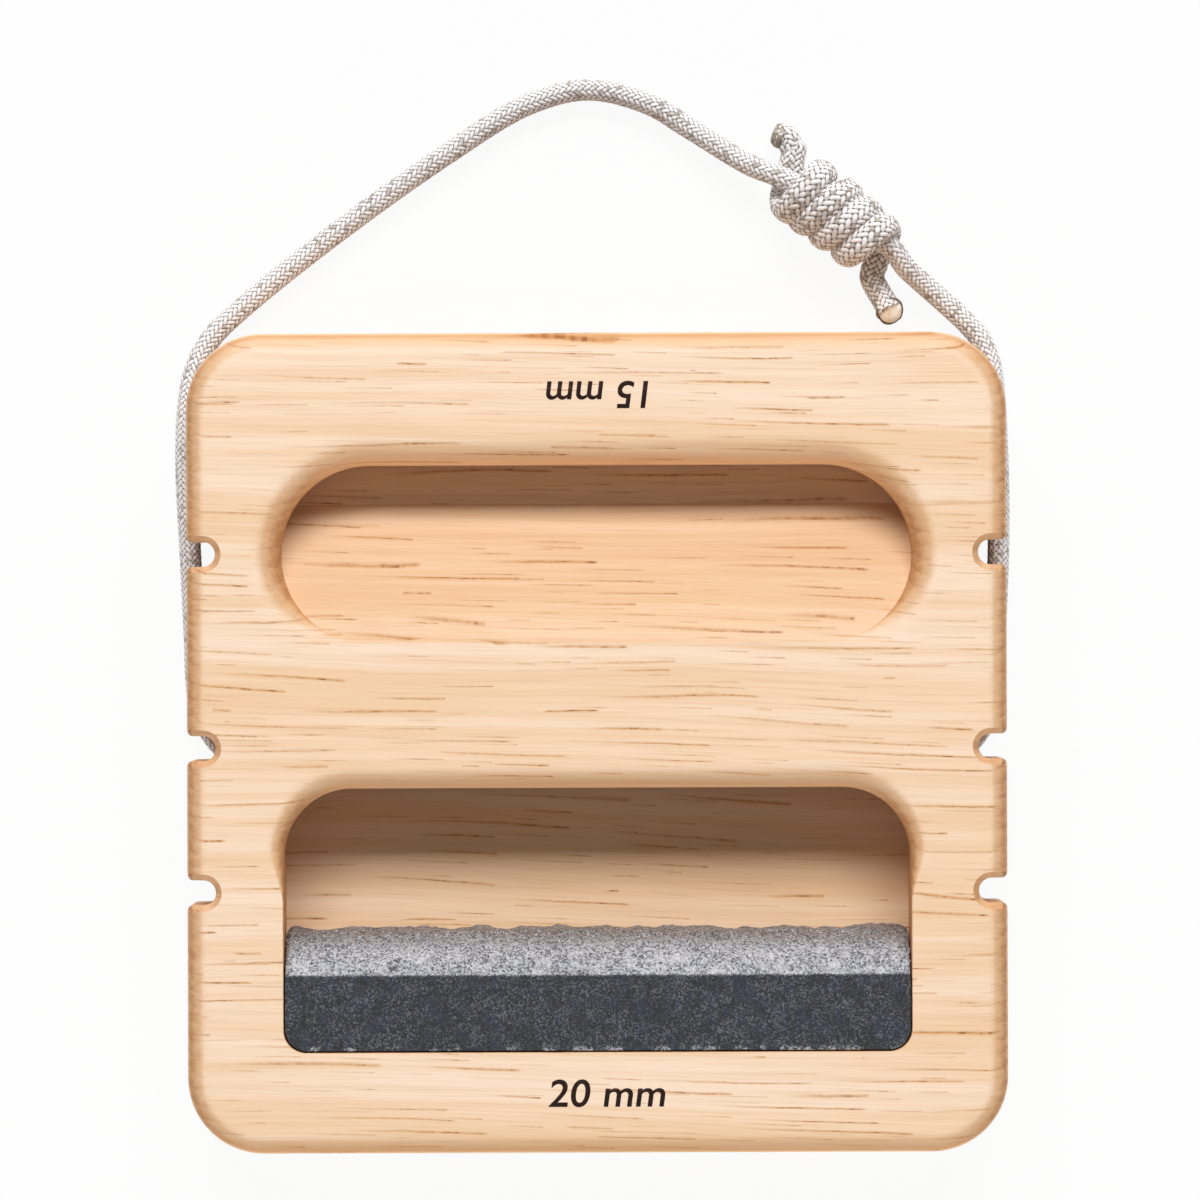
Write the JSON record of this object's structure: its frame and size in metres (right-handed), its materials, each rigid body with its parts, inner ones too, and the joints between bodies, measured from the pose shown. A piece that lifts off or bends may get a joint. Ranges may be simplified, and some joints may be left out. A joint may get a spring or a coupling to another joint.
{
  "type": "portable hangboard",
  "caption": "Square wooden climbing grip board with two finger pockets, a stone edge in the lower one, side notches and a knotted cord loop.",
  "frame": {"origin": "middle of the board's back face, on the surface that it lies on", "axes": "+Z out of the board's face, +Y towards its top edge and the cord's arch, +X to the right seen from the front"},
  "size_m": [0.1855, 0.2372, 0.036],
  "materials": {
    "wood": "sanded pale hardwood with fine brown pores, light oil",
    "stone": "sawn blue-grey stone with a rough broken upper side",
    "adhesive": "set adhesive, dark",
    "cord": "pale grey speckled braided accessory cord"
  },
  "bodies": {
    "root": {"board": "wood", "stone_edge": "stone", "stone_adhesive": "adhesive", "cord_loop": "cord", "knot_core": "cord", "knot_wraps": "cord", "upper_tail": "cord", "lower_tail": "cord"}
  },
  "joints": []
}
